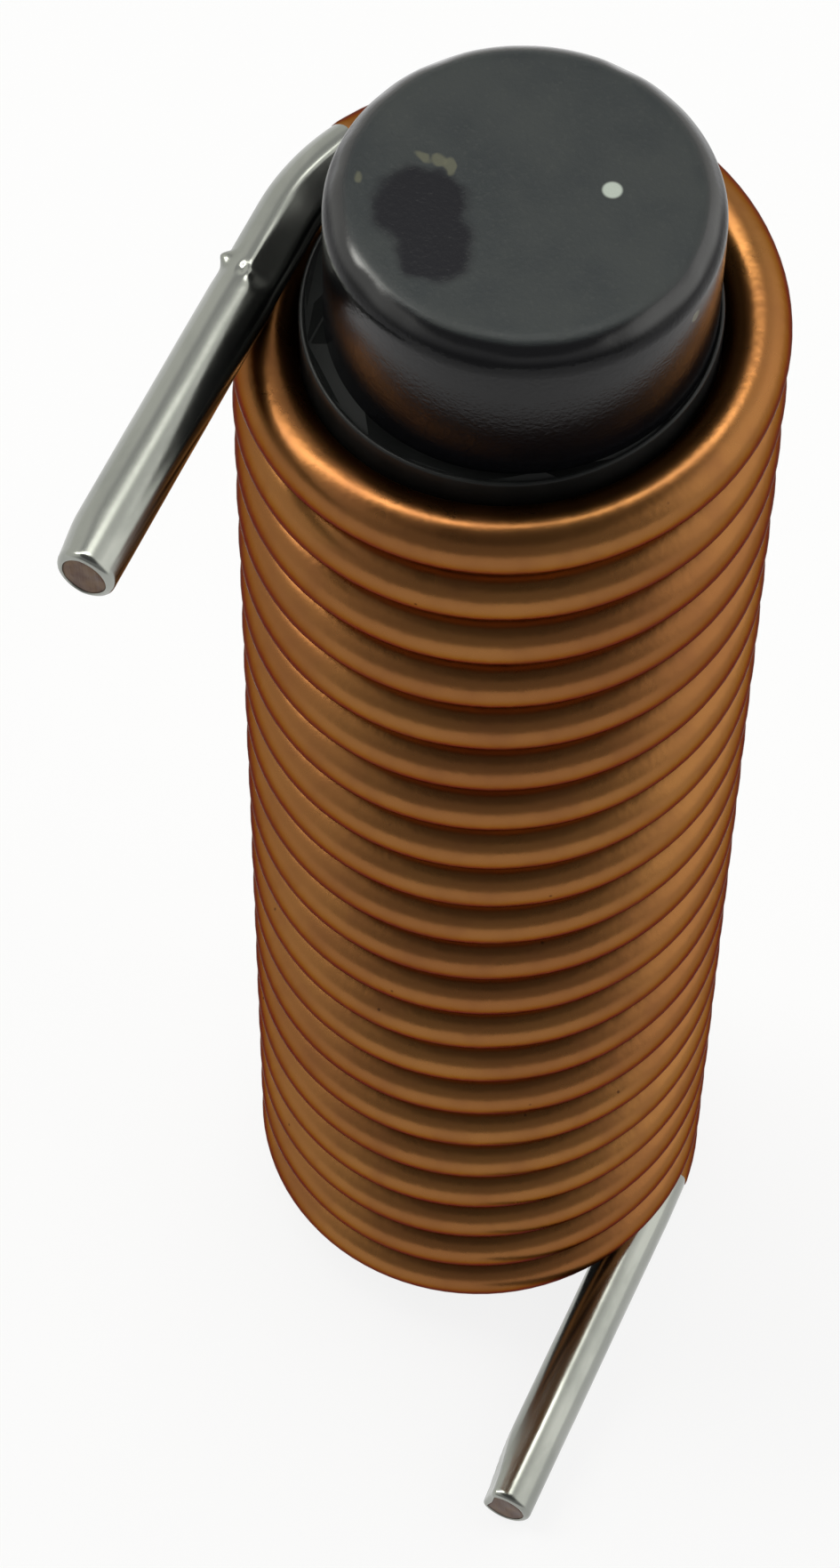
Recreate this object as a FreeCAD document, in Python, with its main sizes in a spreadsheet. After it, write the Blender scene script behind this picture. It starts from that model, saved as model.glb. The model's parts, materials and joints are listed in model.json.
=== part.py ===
import FreeCAD, Part
import os

import Sketcher

# Rod core inductor: a ferrite rod in a thin insulating sleeve, inside a single-layer
# winding of thick enamelled wire. Both ends of the wire leave the winding square to
# the rod and on the same side. They are scraped bare and tinned.
#
# Millimetres and degrees. +Z runs along the winding's axis and z = 0 is the plane that
# the inductor stands on. Both wire ends point along -Y.

SIZES = {
    # ferrite rod
    "rod_radius": 4.0,
    "rod_length": 40.5,
    "rod_edge_radius": 0.5,
    # the rod lies to one side within its play in the sleeve
    "rod_play": 0.2,
    "rod_shift_angle": 22.0,
    # insulating sleeve, a little shorter than the winding at each end
    "sleeve_wall": 0.12,
    "sleeve_setback": 0.3,
    # gap left between pieces that bear on each other
    "seat_gap": 0.01,
    # winding: an odd number of half turns brings both wire ends to the same side
    "wire_diameter": 1.38,
    "turn_pitch": 1.68,
    "half_turns": 43,
    # wire ends, each measured from the side of the winding that lies on a circuit board
    "lower_lead_length": 4.2,
    "upper_lead_length": 3.75,
    "lead_tip_radius": 0.15,
    # depth scraped off a wire end where it leaves the turns, running out at that side
    "scraped_depth": 0.04,
}

# Expressions in the sheet's names that more than one object uses
WIRE_RADIUS = "(Sizes.wire_diameter / 2)"
SLEEVE_INNER = "(Sizes.rod_radius + Sizes.rod_play)"
SLEEVE_OUTER = f"({SLEEVE_INNER} + Sizes.sleeve_wall)"
TURN_RADIUS = f"({SLEEVE_OUTER} + Sizes.seat_gap + {WIRE_RADIUS})"
WINDING_RADIUS = f"({TURN_RADIUS} + {WIRE_RADIUS})"
HALF_TURN_RISE = "(Sizes.turn_pitch / 2)"


def add_sizes(doc):
    """The sheet of driving dimensions, one named number a row."""
    sheet = doc.addObject("Spreadsheet::Sheet", "Sizes")
    for row, (name, value) in enumerate(SIZES.items(), start=1):
        sheet.set(f"A{row}", name)
        sheet.set(f"B{row}", str(value))
        sheet.setAlias(f"B{row}", name)
    doc.recompute()
    return sheet


def bind(obj, expressions):
    """Ties properties of an object to expressions in the sheet's names."""
    for prop, expression in expressions.items():
        obj.setExpression(prop, expression)


def circle_sketch(body, name, radii):
    """A sketch on the body's XY plane, with a circle about the origin for each radius."""
    plane = next(f for f in body.Origin.OriginFeatures if f.Role == "XY_Plane")
    sketch = body.newObject("Sketcher::SketchObject", name)
    sketch.AttachmentSupport = [(plane, "")]
    sketch.MapMode = "FlatFace"
    for index, radius in enumerate(radii):
        first_radius = 1.0 + index
        circle = Part.Circle(FreeCAD.Vector(), FreeCAD.Vector(0, 0, 1), first_radius)
        sketch.addGeometry(circle, False)
        sketch.addConstraint(Sketcher.Constraint("Coincident", index, 3, -1, 1))
        row = sketch.addConstraint(Sketcher.Constraint("Radius", index, first_radius))
        sketch.setExpression(f"Constraints[{row}]", radius)
    return sketch


def padded_body(doc, name, radii, length):
    """A body that stands up from its XY plane, with the section that its circles bound."""
    body = doc.addObject("PartDesign::Body", name)
    body.Label = name
    sketch = circle_sketch(body, f"{name}_section", radii)
    pad = body.newObject("PartDesign::Pad", f"{name}_pad")
    pad.Profile = sketch
    bind(pad, {"Length": length})
    doc.recompute()
    return body, pad


def round_flat_ends(body, base, radius):
    """A fillet round the edge of each flat disc among the faces of the body's last feature."""
    flat = [face for face in base.Shape.Faces if face.Surface.TypeId == "Part::GeomPlane"]
    rims = [face.Edges[0] for face in flat if len(face.Edges) == 1]
    names = [
        f"Edge{number}"
        for number, edge in enumerate(base.Shape.Edges, start=1)
        if any(edge.isSame(rim) for rim in rims)
    ]
    fillet = body.newObject("PartDesign::Fillet", f"{body.Name}_rounding")
    fillet.Base = (base, names)
    bind(fillet, {"Radius": radius})
    body.Tip = fillet


def make_rod(doc):
    """The ferrite rod: a ground cylinder with tumbled edges, standing on its lower face."""
    body, pad = padded_body(doc, "ferrite_rod", ["Sizes.rod_radius"], "Sizes.rod_length")
    round_flat_ends(body, pad, "Sizes.rod_edge_radius")
    shift = "(Sizes.rod_play - Sizes.seat_gap)"
    bind(body, {
        "Placement.Base.x": f"{shift} * cos(Sizes.rod_shift_angle * 1deg)",
        "Placement.Base.y": f"{shift} * sin(Sizes.rod_shift_angle * 1deg)",
    })
    return body


def make_sleeve(doc):
    """The insulating sleeve between the rod and the winding, open at both ends."""
    winding_height = f"(Sizes.half_turns * {HALF_TURN_RISE} + Sizes.wire_diameter)"
    length = f"{winding_height} - 2 * Sizes.sleeve_setback"
    body, _ = padded_body(doc, "insulating_sleeve", [SLEEVE_INNER, SLEEVE_OUTER], length)
    bind(body, {"Placement.Base.z": "Sizes.sleeve_setback"})
    return body


def side_of(half_turn):
    """Half turns start over +X and over -X by turns: the sign of X there."""
    return 1 if half_turn % 2 == 0 else -1


def half_turn_arc(doc, half_turn):
    """The centre line of a half turn: a half circle, tilted about Y by half a pitch.

    Its two ends are level, so each half turn runs smoothly into the next and into
    the wire ends, and the wire climbs between them.
    """
    side = side_of(half_turn)
    arc = doc.addObject("Part::Circle", f"half_turn_{half_turn}")
    arc.Placement.Rotation.Axis = FreeCAD.Vector(0, side, 0)
    half_climb = f"({HALF_TURN_RISE} / 2)"
    start = 0 if side == 1 else 180
    bind(arc, {
        "Radius": f"sqrt(pow({TURN_RADIUS}; 2) + pow({half_climb}; 2))",
        "Angle1": f"{start}",
        "Angle2": f"{start + 180}",
        "Placement.Base.z": f"{WIRE_RADIUS} + {half_turn} * {HALF_TURN_RISE} + {half_climb}",
        "Placement.Rotation.Angle": f"atan({half_climb} / {TURN_RADIUS})",
    })
    return arc


def lead_line(doc, name, half_turn, along, length):
    """The centre line of a wire end: level, at a tangent to the start of a half turn.

    along is 1 where the wire runs out of the winding and -1 where it runs into it.
    """
    side = side_of(half_turn)
    line = doc.addObject("Part::Line", f"{name}_line")
    bind(line, {
        "X1": f"{side} * {TURN_RADIUS}",
        "Y1": "0",
        "Z1": f"{WIRE_RADIUS} + {half_turn} * {HALF_TURN_RISE}",
        "X2": f"{side} * {TURN_RADIUS}",
        "Y2": f"{along * side} * ({WINDING_RADIUS} + {length})",
        "Z2": f"{WIRE_RADIUS} + {half_turn} * {HALF_TURN_RISE}",
    })
    return line


def scraping(doc, name, half_turn, along):
    """The metal scraped off a wire end beside the turns: a ring round its centre line.

    It leaves a slight cone, which reaches the wire's full size level with the winding's side.
    """
    stock = doc.addObject("Part::Cylinder", f"{name}_stock")
    cone = doc.addObject("Part::Cone", f"{name}_scraped_cone")
    bind(stock, {"Radius": f"{WIRE_RADIUS} + Sizes.scraped_depth"})
    bind(cone, {
        "Radius1": f"{WIRE_RADIUS} - Sizes.scraped_depth",
        "Radius2": WIRE_RADIUS,
    })
    side = side_of(half_turn)
    for solid in (stock, cone):
        solid.Placement.Rotation = FreeCAD.Rotation(FreeCAD.Vector(1, 0, 0), -90 * along * side)
        bind(solid, {
            "Height": WINDING_RADIUS,
            "Placement.Base.x": f"{side} * {TURN_RADIUS}",
            "Placement.Base.z": f"{WIRE_RADIUS} + {half_turn} * {HALF_TURN_RISE}",
        })
    ring = doc.addObject("Part::Cut", f"{name}_scraping")
    ring.Base = stock
    ring.Tool = cone
    return ring


def make_winding(doc, sheet):
    """The winding and both of its ends: one wire, swept along its centre line."""
    half_turns = round(sheet.half_turns)
    lower_lead = lead_line(doc, "lower_lead", 0, -1, "Sizes.lower_lead_length")
    turns = [half_turn_arc(doc, number) for number in range(half_turns)]
    upper_lead = lead_line(doc, "upper_lead", half_turns, 1, "Sizes.upper_lead_length")

    centre_line = doc.addObject("Part::Compound", "wire_centre_line")
    centre_line.Links = [lower_lead, *turns, upper_lead]

    section = doc.addObject("Part::Circle", "wire_section")
    section.Placement.Rotation = FreeCAD.Rotation(FreeCAD.Vector(1, 0, 0), 90)
    bind(section, {
        "Radius": WIRE_RADIUS,
        "Placement.Base.x": TURN_RADIUS,
        "Placement.Base.y": f"-({WINDING_RADIUS} + Sizes.lower_lead_length)",
        "Placement.Base.z": WIRE_RADIUS,
    })
    doc.recompute()

    wire = doc.addObject("Part::Sweep", "wire")
    wire.Sections = [section]
    wire.Spine = (centre_line, [f"Edge{n + 1}" for n in range(len(centre_line.Links))])
    wire.Solid = True
    wire.Frenet = False
    for name, half_turn, along in (("lower_lead", 0, -1), ("upper_lead", half_turns, 1)):
        scraped = doc.addObject("Part::Cut", f"{name}_scraped")
        scraped.Base = wire
        scraped.Tool = scraping(doc, name, half_turn, along)
        wire = scraped
    doc.recompute()

    body = doc.addObject("PartDesign::Body", "winding")
    body.Label = "winding"
    body.BaseFeature = wire
    doc.recompute()
    round_flat_ends(body, body.Tip, "Sizes.lead_tip_radius")
    return body


def check(doc, parts):
    """Stops the build if an object failed or a piece isn't one sound solid."""
    for obj in doc.Objects:
        if "Invalid" in obj.State or "Error" in obj.State:
            raise RuntimeError(f"{obj.Label} failed: {obj.State}")
    for part in parts:
        shape = part.Shape
        if shape.isNull() or not shape.isValid() or len(shape.Solids) != 1:
            raise RuntimeError(f"{part.Label} isn't one sound solid")


def main():
    doc = FreeCAD.newDocument("rod_core_inductor")
    sheet = add_sizes(doc)
    parts = [make_rod(doc), make_sleeve(doc), make_winding(doc, sheet)]
    doc.recompute()
    check(doc, parts)
    os.makedirs("parts", exist_ok=True)
    for part in parts:
        part.Shape.exportStep(f"parts/{part.Label}.step")
        print(part.Label, "volume", round(part.Shape.Volume, 2), "mm3")


main()
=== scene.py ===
import json
import math

import bmesh
import bpy
from mathutils import Matrix, Quaternion, Vector, noise


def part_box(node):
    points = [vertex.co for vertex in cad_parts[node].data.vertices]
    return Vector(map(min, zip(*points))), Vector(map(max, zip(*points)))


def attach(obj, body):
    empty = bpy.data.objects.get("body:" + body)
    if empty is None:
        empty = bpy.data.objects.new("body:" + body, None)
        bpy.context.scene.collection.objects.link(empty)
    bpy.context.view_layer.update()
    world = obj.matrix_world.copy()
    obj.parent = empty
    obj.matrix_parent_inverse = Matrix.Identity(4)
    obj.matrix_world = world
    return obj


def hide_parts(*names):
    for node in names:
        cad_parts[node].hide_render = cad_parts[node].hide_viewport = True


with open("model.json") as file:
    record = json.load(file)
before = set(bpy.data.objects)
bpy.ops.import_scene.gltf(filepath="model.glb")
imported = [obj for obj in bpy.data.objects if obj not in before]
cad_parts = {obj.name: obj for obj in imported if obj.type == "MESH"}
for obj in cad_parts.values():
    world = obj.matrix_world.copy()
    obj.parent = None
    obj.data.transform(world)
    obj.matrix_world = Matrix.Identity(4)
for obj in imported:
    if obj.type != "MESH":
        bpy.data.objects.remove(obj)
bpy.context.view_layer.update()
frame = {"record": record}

MM = 0.001

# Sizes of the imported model
rod_low, rod_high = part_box("ferrite_rod")
sleeve_low, sleeve_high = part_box("insulating_sleeve")
winding_low, winding_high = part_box("winding")
mounts = {mount["name"]: mount for mount in frame["record"]["mounts"]}

ROD_RADIUS = (rod_high.x - rod_low.x) / 2
ROD_CENTRE = Vector(((rod_low.x + rod_high.x) / 2, (rod_low.y + rod_high.y) / 2, 0))
# The tumbled edge is rounder than the solid's, as a closer look at the photograph shows
ROD_EDGE = 0.65 * MM
SLEEVE_RADIUS = (sleeve_high.x - sleeve_low.x) / 2
SLEEVE_WALL = 0.11 * MM
WIRE_RADIUS = mounts["lower_lead"]["dims"]["r_mm"] * MM
TURN_RADIUS = winding_high.x - WIRE_RADIUS
HALF_TURNS = 43  # as in the part's source
LOWER_Z = mounts["lower_lead"]["pos_m"][2]
UPPER_Z = mounts["upper_lead"]["pos_m"][2]
LOWER_TIP_Y = winding_low.y
UPPER_TIP_Y = LOWER_TIP_Y + 0.45 * MM  # the upper wire end is cut shorter

# Where things are along the wire, as a run from the lower end's tangent point
TURNS_ANGLE = HALF_TURNS * math.pi
TURNS_RUN = TURNS_ANGLE * TURN_RADIUS
LOWER_ENAMEL_EDGE = math.radians(3.4) * TURN_RADIUS
UPPER_ENAMEL_EDGE = TURNS_RUN - math.radians(25) * TURN_RADIUS

# Radians over which the wire's climb dies away at either end of the turns
LEVELLING_ANGLE = 0.9

# Rounding of the cut wire ends
RIM = 0.14 * MM

# Marks on the rod in millimetres: place from the middle of its upper end, and radius
DARK_PATCHES = (((-1.96, -1.22, 0), 0.95), ((-1.3, -1.95, 0), 0.85))
FLECKS = (
    ((-2.36, -0.05, 0), 0.10),
    ((-2.08, -0.06, 0), 0.14),
    ((-1.84, -0.11, 0), 0.15),
    ((-3.3, -1.05, 0), 0.07),
    ((3.92, -0.80, -0.95), 0.16),  # a chip on the side
)
PALE_DOT = (1.33, 0.70, 0)


# Camera

def direction(azimuth, elevation):
    """A unit vector from the object, the azimuth turned from -Y towards +X."""
    azimuth, elevation = math.radians(azimuth), math.radians(elevation)
    return Vector((
        math.sin(azimuth) * math.cos(elevation),
        -math.cos(azimuth) * math.cos(elevation),
        math.sin(elevation),
    ))


def make_camera():
    """The photograph's view: from the front right, steeply down."""
    aim = Vector((-1.57, -0.68, 17.7)) * MM
    distance = 119.0 * MM
    back = direction(23.52, 59.52)
    roll = Quaternion((0, 0, 1), math.radians(0.81))
    data = bpy.data.cameras.new("camera")
    data.lens = 116.9
    data.sensor_width = 36
    data.clip_start = 1 * MM
    camera = bpy.data.objects.new("camera", data)
    bpy.context.scene.collection.objects.link(camera)
    turn = back.to_track_quat("Z", "Y") @ roll
    camera.matrix_world = Matrix.Translation(aim + distance * back) @ turn.to_matrix().to_4x4()
    bpy.context.scene.camera = camera


# Node helpers

def add_node(tree, kind, inputs=None, **settings):
    """A node with its settings made and each input linked to a socket or set to a value."""
    node = tree.nodes.new(kind)
    for name, value in settings.items():
        setattr(node, name, value)
    for name, value in (inputs or {}).items():
        if isinstance(value, bpy.types.NodeSocket):
            tree.links.new(value, node.inputs[name])
        else:
            node.inputs[name].default_value = value
    return node


def math_node(tree, operation, first, second=0.0):
    """The output of a Math node."""
    return add_node(tree, "ShaderNodeMath", {0: first, 1: second}, operation=operation).outputs[0]


def remap(tree, value, low, high, to_low=0.0, to_high=1.0):
    """A value's range moved to another one, smoothly and clamped."""
    node = add_node(tree, "ShaderNodeMapRange", {
        "Value": value, "From Min": low, "From Max": high, "To Min": to_low, "To Max": to_high,
    }, interpolation_type="SMOOTHSTEP")
    return node.outputs["Result"]


def mix_colours(tree, factor, first, second):
    """The colour between two others."""
    node = add_node(tree, "ShaderNodeMixRGB", {"Fac": factor, "Color1": first, "Color2": second})
    return node.outputs["Color"]


def noise_node(tree, position, scale, detail=4.0, roughness=0.5):
    """A noise value at a position in millimetres, with scale features to the millimetre."""
    node = add_node(tree, "ShaderNodeTexNoise", {
        "Vector": position, "Scale": scale, "Detail": detail, "Roughness": roughness,
    })
    return node.outputs["Fac"]


def position_mm(tree, stretch=(1, 1, 1)):
    """The place on the object, in millimetres of the part's frame."""
    place = add_node(tree, "ShaderNodeTexCoord").outputs["Object"]
    node = add_node(tree, "ShaderNodeVectorMath", {
        0: place, 1: tuple(1000 * factor for factor in stretch),
    }, operation="MULTIPLY")
    return node.outputs["Vector"]


def bump(tree, height, strength, distance):
    """A normal that follows a height, distance in metres for a height of one."""
    node = add_node(tree, "ShaderNodeBump", {
        "Height": height, "Strength": strength, "Distance": distance,
    })
    return node.outputs["Normal"]


def new_material(name, **inputs):
    """A material with its Principled shader's constants set."""
    material = bpy.data.materials.new(name)
    material.use_nodes = True
    shader = material.node_tree.nodes["Principled BSDF"]
    for key, value in inputs.items():
        shader.inputs[key.replace("_", " ")].default_value = value
    return material, material.node_tree, shader


# Materials

def enamelled_copper():
    """Copper under clear amber enamel, with the drawing lines and small marks of a wire."""
    material, tree, shader = new_material(
        "enamelled_copper", Metallic=1.0, Specular_Tint=(0.28, 0.17, 0.12, 1),
        Coat_Weight=0.05, Coat_Roughness=0.15,
    )
    place = position_mm(tree)
    drift = noise_node(tree, place, 0.18, detail=2.0)
    patches = noise_node(tree, place, 1.1)
    colour = mix_colours(tree, remap(tree, drift, 0.35, 0.65),
                         (0.285, 0.124, 0.037, 1), (0.25, 0.101, 0.032, 1))
    colour = mix_colours(tree, remap(tree, patches, 0.45, 0.75, 0, 0.35),
                         colour, (0.21, 0.080, 0.031, 1))
    specks = add_node(tree, "ShaderNodeTexVoronoi", {"Vector": place, "Scale": 0.9})
    colour = mix_colours(tree, remap(tree, specks.outputs["Distance"], 0.05, 0.02),
                         colour, (0.12, 0.05, 0.02, 1))
    tree.links.new(colour, shader.inputs["Base Color"])
    tree.links.new(remap(tree, patches, 0.3, 0.7, 0.26, 0.33), shader.inputs["Roughness"])
    fine = noise_node(tree, place, 9.0, detail=3.0)
    lumps = noise_node(tree, place, 2.2, detail=2.0)
    height = math_node(tree, "ADD", math_node(tree, "MULTIPLY", fine, 0.15), lumps)
    tree.links.new(bump(tree, height, 0.35, 0.03 * MM), shader.inputs["Normal"])
    return material


def tinning():
    """Solder on the scraped wire: silvery, slightly uneven, with faint dull patches."""
    material, tree, shader = new_material("tinning", Metallic=1.0)
    place = position_mm(tree, (1, 0.45, 1))
    patches = noise_node(tree, place, 1.3)
    colour = mix_colours(tree, remap(tree, patches, 0.35, 0.7),
                         (0.35, 0.36, 0.33, 1), (0.29, 0.30, 0.275, 1))
    tree.links.new(colour, shader.inputs["Base Color"])
    tree.links.new(remap(tree, patches, 0.3, 0.7, 0.17, 0.25), shader.inputs["Roughness"])
    fine = noise_node(tree, place, 7.0, detail=3.0)
    tree.links.new(bump(tree, fine, 0.06, 0.02 * MM), shader.inputs["Normal"])
    return material


def cut_copper():
    """The wire's cut end: bare copper, brown and scored by the cutter."""
    material, tree, shader = new_material("cut_copper", Metallic=0.85)
    place = position_mm(tree)
    patches = noise_node(tree, place, 2.4)
    colour = mix_colours(tree, remap(tree, patches, 0.4, 0.62),
                         (0.09, 0.05, 0.035, 1), (0.15, 0.095, 0.06, 1))
    tree.links.new(colour, shader.inputs["Base Color"])
    tree.links.new(remap(tree, patches, 0.3, 0.7, 0.35, 0.5), shader.inputs["Roughness"])
    scores = noise_node(tree, position_mm(tree, (6, 1, 0.6)), 2.0)
    tree.links.new(bump(tree, scores, 0.6, 0.04 * MM), shader.inputs["Normal"])
    return material


def distance_from(tree, place, spot):
    """The distance from a spot, in millimetres."""
    node = add_node(tree, "ShaderNodeVectorMath", {0: place, 1: spot}, operation="DISTANCE")
    return node.outputs["Value"]


def ferrite():
    """Sintered ferrite: black and glossy round its side, ground to a dull grey at its end. The
    side's black is partly the as-fired finish and partly painted shade.
    """
    material, tree, shader = new_material("ferrite", IOR=1.28, Coat_Roughness=0.15)
    place = position_mm(tree)
    mottle = noise_node(tree, place, 0.8, detail=5.0)
    grain = noise_node(tree, place, 11.0, detail=3.0)
    upper_end = (ROD_CENTRE + Vector((0, 0, rod_high.z))) / MM
    height = add_node(tree, "ShaderNodeSeparateXYZ", {"Vector": place}).outputs["Z"]
    # 1 on the ground end; below it the side takes a near-black colour that is partly painted
    # shade.
    ground = remap(tree, height, upper_end.z - 0.08, upper_end.z - 0.01)
    moulded = math_node(tree, "SUBTRACT", 1.0, ground)

    grey = mix_colours(tree, remap(tree, mottle, 0.3, 0.7),
                       (0.028, 0.033, 0.035, 1), (0.036, 0.041, 0.041, 1))
    grey = mix_colours(tree, remap(tree, grain, 0.55, 0.75, 0, 0.3),
                       grey, (0.058, 0.062, 0.058, 1))
    # Painted shade: the side's near-black is partly its as-fired finish and partly painted shade,
    # so the ground end shows lighter.
    colour = mix_colours(tree, ground, (0.004, 0.004, 0.005, 1), grey)

    # The marks' outlines wander by up to half of this to either side, in millimetres
    wander = 0.6
    wobble = add_node(tree, "ShaderNodeTexNoise", {"Vector": place, "Scale": 1.3})
    bent = add_node(tree, "ShaderNodeVectorMath", {
        0: wobble.outputs["Color"], 1: (wander, wander, 0.0), 2: place,
    }, operation="MULTIPLY_ADD").outputs["Vector"]
    middle = upper_end + Vector((wander / 2, wander / 2, 0))
    # Darker, glossier patches on the ground end, with wandering outlines.
    dark_patch = 0.0
    for spot, size in DARK_PATCHES:
        distance = distance_from(tree, bent, middle + Vector(spot))
        spread = remap(tree, distance, size + 0.16, size - 0.16)
        dark_patch = math_node(tree, "MAXIMUM", spread, dark_patch)
    dark_patch = math_node(tree, "MULTIPLY", dark_patch, ground)
    colour = mix_colours(tree, dark_patch, colour, (0.013, 0.013, 0.016, 1))
    for spot, size in FLECKS:
        distance = distance_from(tree, bent, middle + Vector(spot))
        colour = mix_colours(tree, remap(tree, distance, size + 0.05, size - 0.03, 0, 0.8),
                             colour, (0.11, 0.11, 0.075, 1))
    distance = distance_from(tree, place, upper_end + Vector(PALE_DOT))
    colour = mix_colours(tree, remap(tree, distance, 0.23, 0.16), colour, (0.42, 0.47, 0.42, 1))
    tree.links.new(colour, shader.inputs["Base Color"])

    glossy = math_node(tree, "MAXIMUM", dark_patch, moulded)
    dull = remap(tree, mottle, 0.3, 0.7, 0.36, 0.46)
    roughness = add_node(tree, "ShaderNodeMix", {"Factor": glossy, "A": dull, "B": 0.19})
    tree.links.new(roughness.outputs["Result"], shader.inputs["Roughness"])
    tumbled = remap(tree, height, upper_end.z - 0.33, upper_end.z - 0.18)
    tumbled = math_node(tree, "MULTIPLY", tumbled, moulded)
    tree.links.new(tumbled, shader.inputs["Coat Weight"])
    tree.links.new(bump(tree, grain, 0.25, 0.03 * MM), shader.inputs["Normal"])
    return material


def sleeving():
    """Thin black insulating sleeve, glossy."""
    material, tree, shader = new_material("sleeve", IOR=1.35)
    place = position_mm(tree, (1, 1, 0.3))
    streaks = noise_node(tree, place, 1.6)
    colour = mix_colours(tree, streaks, (0.009, 0.010, 0.010, 1), (0.017, 0.018, 0.018, 1))
    tree.links.new(colour, shader.inputs["Base Color"])
    tree.links.new(remap(tree, streaks, 0.3, 0.7, 0.35, 0.5), shader.inputs["Roughness"])
    tree.links.new(bump(tree, streaks, 0.3, 0.04 * MM), shader.inputs["Normal"])
    return material


def floor_paper():
    """White paper sweep, which stays white to the camera and keeps the object's shadow."""
    material, tree, shader = new_material("floor_paper", Roughness=0.8)
    fibres = noise_node(tree, position_mm(tree), 0.4)
    colour = mix_colours(tree, fibres, (0.80, 0.80, 0.80, 1), (0.84, 0.84, 0.84, 1))
    tree.links.new(colour, shader.inputs["Base Color"])
    glow = add_node(tree, "ShaderNodeEmission", {"Color": (1, 1, 1, 1), "Strength": 1.0})
    path = add_node(tree, "ShaderNodeLightPath").outputs
    seen = math_node(tree, "MAXIMUM", path["Is Camera Ray"], path["Is Glossy Ray"])
    seen = math_node(tree, "MAXIMUM", seen, path["Is Transmission Ray"])
    white_share = 0.85
    mixed = add_node(tree, "ShaderNodeMixShader", {
        0: math_node(tree, "MULTIPLY", seen, white_share),
        1: shader.outputs["BSDF"],
        2: glow.outputs["Emission"],
    })
    output = tree.nodes["Material Output"]
    tree.links.new(mixed.outputs["Shader"], output.inputs["Surface"])
    return material


# Mesh helpers

def mesh_object(name, vertices, faces, material):
    """A smooth-shaded closed piece that rides on the body."""
    mesh = bpy.data.meshes.new(name)
    mesh.from_pydata([tuple(v) for v in vertices], [], faces)
    outward = bmesh.new()
    outward.from_mesh(mesh)
    bmesh.ops.recalc_face_normals(outward, faces=outward.faces)
    outward.to_mesh(mesh)
    outward.free()
    mesh.materials.append(material)
    mesh.polygons.foreach_set("use_smooth", [True] * len(faces))
    mesh.update()
    piece = bpy.data.objects.new(name, mesh)
    bpy.context.scene.collection.objects.link(piece)
    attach(piece, "root")
    return piece


def skin(name, rings, material):
    """A piece skinned over rings of points, with a face across its first and its last ring."""
    around = len(rings[0])
    faces = []
    for ring in range(len(rings) - 1):
        for step in range(around):
            a = ring * around + step
            b = ring * around + (step + 1) % around
            faces.append((a, b, b + around, a + around))
    faces.append(tuple(reversed(range(around))))
    faces.append(tuple(range((len(rings) - 1) * around, len(rings) * around)))
    return mesh_object(name, [point for ring in rings for point in ring], faces, material)


def smooth(value, low, high):
    """0 below low, 1 above high and a smooth step between them."""
    t = min(max((value - low) / (high - low), 0), 1)
    return t * t * (3 - 2 * t)


def hill(value, centre, width):
    """1 at the centre, falling off to either side."""
    return math.exp(-((value - centre) / width) ** 2)


# Wire

def climb(angle):
    """Height above the lower end: even, but level where the wire runs into either end."""
    if angle > TURNS_ANGLE / 2:
        return UPPER_Z - LOWER_Z - climb(TURNS_ANGLE - angle)
    slope = (UPPER_Z - LOWER_Z) / (TURNS_ANGLE - LEVELLING_ANGLE)
    t = min(angle / LEVELLING_ANGLE, 1)
    return slope * (LEVELLING_ANGLE * (t ** 3 - t ** 4 / 2) + max(angle - LEVELLING_ANGLE, 0))


def wire_place(run):
    """Centre, outward and upward directions of the wire at a run along it."""
    angle = min(max(run / TURN_RADIUS, 0), TURNS_ANGLE)
    outward = Vector((math.cos(angle), math.sin(angle), 0))
    ahead = Vector((-math.sin(angle), math.cos(angle), 0))
    centre = outward * TURN_RADIUS + ahead * (run - angle * TURN_RADIUS)
    centre.z = LOWER_Z + climb(angle)
    step = 0.001
    steepness = (climb(min(angle + step, TURNS_ANGLE)) - climb(max(angle - step, 0))) / (2 * step)
    along = (ahead * TURN_RADIUS + Vector((0, 0, steepness))).normalized()
    return centre, outward, outward.cross(along)


def wire_ring(run, radius_at, around, shift_at=None):
    """A ring of points about the wire. The angles go from outward through upward."""
    ring = []
    for step in range(around):
        angle = 2 * math.pi * step / around
        shift = shift_at(angle) if shift_at else 0
        centre, outward, upward = wire_place(run + shift)
        radius = radius_at(angle)
        ring.append(centre + radius * (math.cos(angle) * outward + math.sin(angle) * upward))
    return ring


def make_enamelled_wire(material):
    """The turns: one wire from the enamel's edge at the lower end to its edge at the upper."""
    around = 32
    step = math.radians(3.75) * TURN_RADIUS
    # The enamel's broken edge: depth in from it and radius there
    edge = (
        (0.0, 0.62 * MM),
        (0.015 * MM, WIRE_RADIUS - 0.03 * MM),
        (0.05 * MM, WIRE_RADIUS - 0.008 * MM),
        (0.12 * MM, WIRE_RADIUS),
    )
    whole = 0.3 * MM

    def ragged(angle):
        return 0.1 * MM * noise.noise(Vector((2 * math.cos(angle), 2 * math.sin(angle), 3.7)))

    rings = []
    for depth, radius in edge:
        rings.append(wire_ring(LOWER_ENAMEL_EDGE + depth, lambda _, r=radius: r, around, ragged))
    for run in spaced(LOWER_ENAMEL_EDGE + whole, UPPER_ENAMEL_EDGE - whole, step):
        place = wire_place(run)[0] / MM
        swell = 0.008 * MM * (noise.noise(place * 0.35) - 0.5)
        rings.append(wire_ring(run, lambda _, r=WIRE_RADIUS + swell: r, around))
    for depth, radius in reversed(edge):
        rings.append(wire_ring(UPPER_ENAMEL_EDGE - depth, lambda _, r=radius: r, around, ragged))
    winding = skin("enamelled_turns", rings, material)
    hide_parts("winding")


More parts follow.
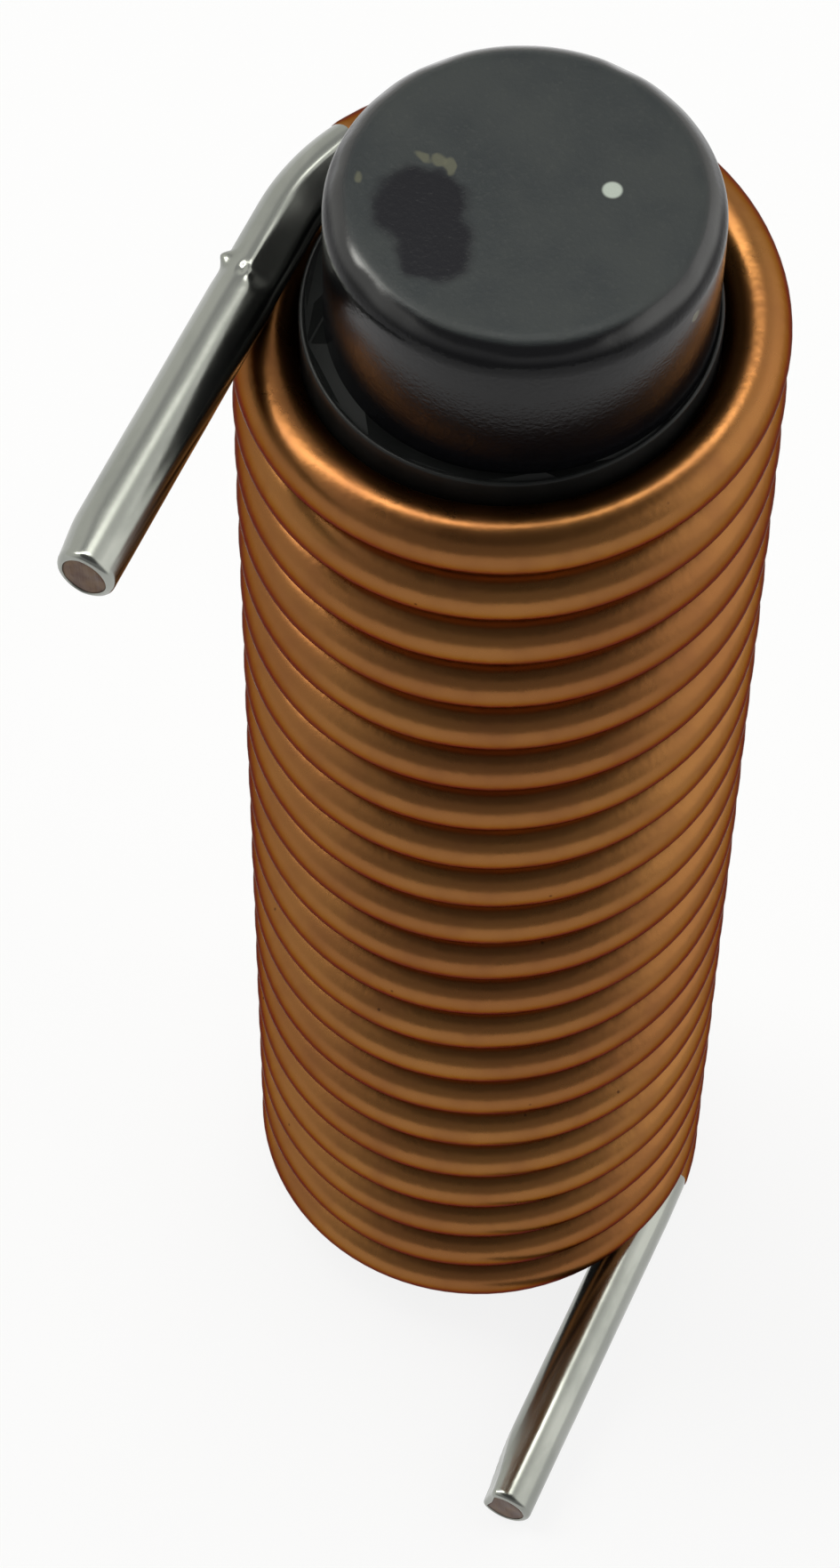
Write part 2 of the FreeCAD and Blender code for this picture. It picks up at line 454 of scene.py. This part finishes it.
def end_rings(runs, tip_run, ahead, profile, around):
    """Rings of a wire end: along runs, over its rounded rim and down behind its cut face.

    ahead is 1 where the runs grow towards the tip and -1 where they shrink.
    """
    rings = [wire_ring(run, lambda angle, r=run: profile(r, angle), around) for run in runs]
    for part in (0.25, 0.5, 0.75, 0.92, 1.0):
        back = RIM * (1 - math.sin(part * math.pi / 2))
        inset = RIM * (1 - math.cos(part * math.pi / 2))
        run = tip_run - ahead * back
        rings.append(wire_ring(run, lambda angle: profile(tip_run, angle) - inset, around))
    behind_face = tip_run - ahead * 0.12 * MM
    rings.append(wire_ring(behind_face, lambda angle: profile(tip_run, angle) - 1.2 * RIM, around))
    return rings


def make_cut_face(name, tip_run, profile, around, material):
    """The cut face within a wire end's rim, a little uneven."""
    rings = []
    for share in (1.0, 0.97, 0.85, 0.7, 0.55, 0.4, 0.25, 0.1, 0.03):
        ring = []
        for step in range(around):
            angle = 2 * math.pi * step / around
            centre, outward, upward = wire_place(tip_run)
            radius = share * (profile(tip_run, angle) - 0.95 * RIM)
            spot = radius * (math.cos(angle) * outward + math.sin(angle) * upward)
            dent = 0.02 * MM * (1 + noise.noise(spot / MM * 2.5))
            depth = 0.06 * MM if share == 1.0 else dent
            ring.append(centre + spot + Vector((0, depth, 0)))
        rings.append(ring)
    face = skin(name, rings, material)
    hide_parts("winding")


def spaced(start, end, step):
    """Even steps from start to end, both kept."""
    count = max(round(abs(end - start) / step), 1)
    return [start + (end - start) * number / count for number in range(count + 1)]


def upper_profile(run, angle):
    """Radius of the upper wire end: scraped flat beside the turns, burred, nipped at its tip."""
    y = TURNS_RUN - run
    bare = smooth(y, -2.3 * MM, -1.7 * MM)
    radius = WIRE_RADIUS - 0.004 * MM - bare * 0.02 * MM

    flat_angle = math.radians(120)
    depth = bare * (0.075 + 0.02 * noise.noise(Vector((y / MM * 0.9, 0.3, 0)))) * MM
    away = math.cos(angle - flat_angle)
    if away > 0.5:
        radius = min(radius, (radius - depth) / away)

    # Burrs and a pit where the scraper was lifted
    outer_burr = hill(y, -1.62 * MM, 0.17 * MM) * hill(angle, math.radians(36), 0.2)
    crown_burr = hill(y, -1.95 * MM, 0.12 * MM) * hill(angle, math.radians(97), 0.11)
    crown_pit = hill(y, -1.85 * MM, 0.13 * MM) * hill(angle, math.radians(82), 0.09)
    radius += (0.17 * outer_burr + 0.035 * crown_burr - 0.09 * crown_pit) * MM

    nip = smooth(-y, -UPPER_TIP_Y - 1.2 * MM, -UPPER_TIP_Y + 0.1 * MM)
    radius -= 0.12 * MM * nip * max(math.cos(angle), 0)
    lumps = noise.noise(Vector((y / MM * 0.8, 1.3 * math.cos(angle), 1.3 * math.sin(angle))))
    return radius + 0.004 * MM * (lumps - 1)


def lower_profile(run, angle):
    """Radius of the lower wire end: round, and pinched flat on its inner side at the tip."""
    y = run
    radius = WIRE_RADIUS - 0.004 * MM - 0.02 * MM * smooth(y, -1.0 * MM, 0.4 * MM)
    pinch = smooth(-y, -LOWER_TIP_Y - 2.2 * MM, -LOWER_TIP_Y)
    away = math.cos(angle - math.radians(165))
    if away > 0.3:
        radius = min(radius, (radius - 0.2 * MM * pinch) / away)
    lumps = noise.noise(Vector((y / MM * 0.8, 1.3 * math.cos(angle), 1.3 * math.sin(angle) + 5)))
    return radius + 0.004 * MM * (lumps - 1)


def make_wire_ends(tin, copper):
    """Both tinned wire ends, each from under the enamel's edge to its cut face."""
    around = 64
    under = 0.5 * MM
    step = 0.06 * MM
    for name, enamel_edge, tip_run, ahead, profile in (
        ("upper", UPPER_ENAMEL_EDGE, TURNS_RUN - UPPER_TIP_Y, 1, upper_profile),
        ("lower", LOWER_ENAMEL_EDGE, LOWER_TIP_Y, -1, lower_profile),
    ):
        runs = spaced(enamel_edge - ahead * under, tip_run - ahead * RIM, step)
        end = skin(f"{name}_wire_end", end_rings(runs, tip_run, ahead, profile, around), tin)
        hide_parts("winding")
        make_cut_face(f"{name}_cut_face", tip_run, profile, around, copper)


# Rod and sleeve

def turned(name, profile, around, material, dent_at=None):
    """A piece turned about the Z axis from a profile of radii and heights."""
    rings = []
    for radius, z in profile:
        ring = []
        for step in range(around):
            angle = 2 * math.pi * step / around
            inset, drop = dent_at(angle, radius, z) if dent_at else (0, 0)
            ring.append(Vector((
                (radius - inset) * math.cos(angle),
                (radius - inset) * math.sin(angle),
                z - drop,
            )))
        rings.append(ring)
    return skin(name, rings, material)


def make_rod(material):
    """The ferrite rod, with edges rounded by tumbling and lightly chipped."""
    top = rod_high.z
    flat = ROD_RADIUS - ROD_EDGE
    corner = [math.radians(angle) for angle in range(0, 91, 10)]
    profile = [(share * flat, 0.0) for share in (0.02, 0.3, 0.6, 0.85, 0.97)]
    profile += [(flat + ROD_EDGE * math.sin(a), ROD_EDGE * (1 - math.cos(a))) for a in corner]
    profile += [(ROD_RADIUS, z) for z in spaced(ROD_EDGE, top - ROD_EDGE, 0.8 * MM)[1:-1]]
    profile += [
        (flat + ROD_EDGE * math.cos(a), top - ROD_EDGE * (1 - math.sin(a))) for a in corner
    ]
    profile += [(share * flat, top) for share in (0.97, 0.85, 0.6, 0.3, 0.02)]

    def chips(angle, radius, z):
        """The rod's edges are worn unevenly: less inset off the edges, more on them."""
        place = Vector((math.cos(angle), math.sin(angle), z / top)) * 4.2
        worn = noise.noise(place) * 0.5 + 0.5
        edge = hill(radius, ROD_RADIUS - 0.15 * MM, 0.22 * MM)
        edge *= max(hill(z, top - 0.15 * MM, 0.25 * MM), hill(z, 0.15 * MM, 0.25 * MM))
        cut = 0.035 * MM * edge * smooth(worn, 0.35, 0.9)
        return cut, cut if z > top / 2 else -cut

    rod = turned("rod", profile, 256, material, chips)
    rod.location = ROD_CENTRE
    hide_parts("ferrite_rod")


def make_sleeve(material):
    """The thin sleeve, whose upper edge isn't cut quite square."""
    outer = SLEEVE_RADIUS - 0.02 * MM
    inner = outer - SLEEVE_WALL
    low, high = sleeve_low.z, sleeve_high.z
    lip = SLEEVE_WALL / 2
    slant_start = high - 2 * MM
    rounding = [math.radians(angle) for angle in range(30, 151, 30)]
    profile = [(inner, high - lip), (inner, low), (outer, low)]
    profile += [(outer, z) for z in spaced(low, slant_start, 2 * MM)[1:]]
    profile += [(outer, high - 1 * MM), (outer, high - lip)]
    profile += [
        (inner + lip + lip * math.cos(a), high - lip + lip * math.sin(a)) for a in rounding
    ]
    profile.append(profile[0])

    def slanted(angle, radius, z):
        """The cut drops towards the front left, and waves a little."""
        share = smooth(z, slant_start, high - lip)
        wave = 0.03 * MM * noise.noise(Vector((1.5 * math.cos(angle), 1.5 * math.sin(angle), 0)))
        drop = 0.4 * MM - 0.2 * MM * math.cos(angle - math.radians(60)) + wave
        return 0, share * drop

    sleeve = turned("sleeve", profile, 160, material, slanted)
    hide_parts("insulating_sleeve")


# Studio

def make_floor():
    """A plain pale floor under the inductor."""
    half = 0.6
    corners = [(-half, -half, 0), (half, -half, 0), (half, half, 0), (-half, half, 0)]
    mesh = bpy.data.meshes.new("floor")
    mesh.from_pydata(corners, [], [(0, 1, 2, 3)])
    mesh.materials.append(floor_paper())
    floor = bpy.data.objects.new("floor", mesh)
    bpy.context.scene.collection.objects.link(floor)


def make_world():
    """A pale room: darker in front and over the camera, with a tube lamp behind the top."""
    world = bpy.data.worlds.new("studio")
    world.use_nodes = True
    bpy.context.scene.world = world
    tree = world.node_tree
    toward = add_node(tree, "ShaderNodeTexCoord").outputs["Generated"]

    def nearness(centre):
        """The cosine of the angle from a direction."""
        node = add_node(tree, "ShaderNodeVectorMath", {0: toward, 1: centre},
                        operation="DOT_PRODUCT")
        return node.outputs["Value"]

    # Dim in front, darker over the camera, bright on the right and dim again behind.
    # Each patch is full within inner degrees of its centre, and gone beyond outer.
    level = (0.88, 0.88, 0.84, 1)
    for centre, outer, inner, colour in (
        (direction(20, 10), 75, 35, (0.32, 0.32, 0.32, 1)),
        (direction(18, 72), 42, 28, (0.11, 0.11, 0.11, 1)),
        (direction(118, 18), 48, 14, (1.5, 1.5, 1.45, 1)),
        (direction(203.5, 52), 30, 14, (0.5, 0.5, 0.5, 1)),
    ):
        gone, full = (math.cos(math.radians(angle)) for angle in (outer, inner))
        level = mix_colours(tree, remap(tree, nearness(centre), gone, full), level, colour)

    # The tube runs from left to right, and is seen less and less towards the right
    across = math_node(tree, "ABSOLUTE", nearness(direction(203.5, -19)))
    height = add_node(tree, "ShaderNodeSeparateXYZ", {"Vector": toward}).outputs["Z"]
    tube = math_node(tree, "MULTIPLY",
                     remap(tree, across, 0.15, 0.06), remap(tree, height, 0.5, 0.68))
    rightward = nearness(direction(113.5, 0))
    glare = mix_colours(tree, remap(tree, rightward, 0.1, 0.45),
                        (8.0, 8.0, 7.5, 1), (1.1, 1.1, 1.07, 1))
    level = mix_colours(tree, tube, level, glare)
    tree.links.new(level, tree.nodes["Background"].inputs["Color"])


make_camera()
enamel = enamelled_copper()
tin = tinning()
copper = cut_copper()
make_enamelled_wire(enamel)
make_wire_ends(tin, copper)
make_rod(ferrite())
make_sleeve(sleeving())
make_floor()
make_world()
bpy.context.scene.view_settings.view_transform = "Standard"
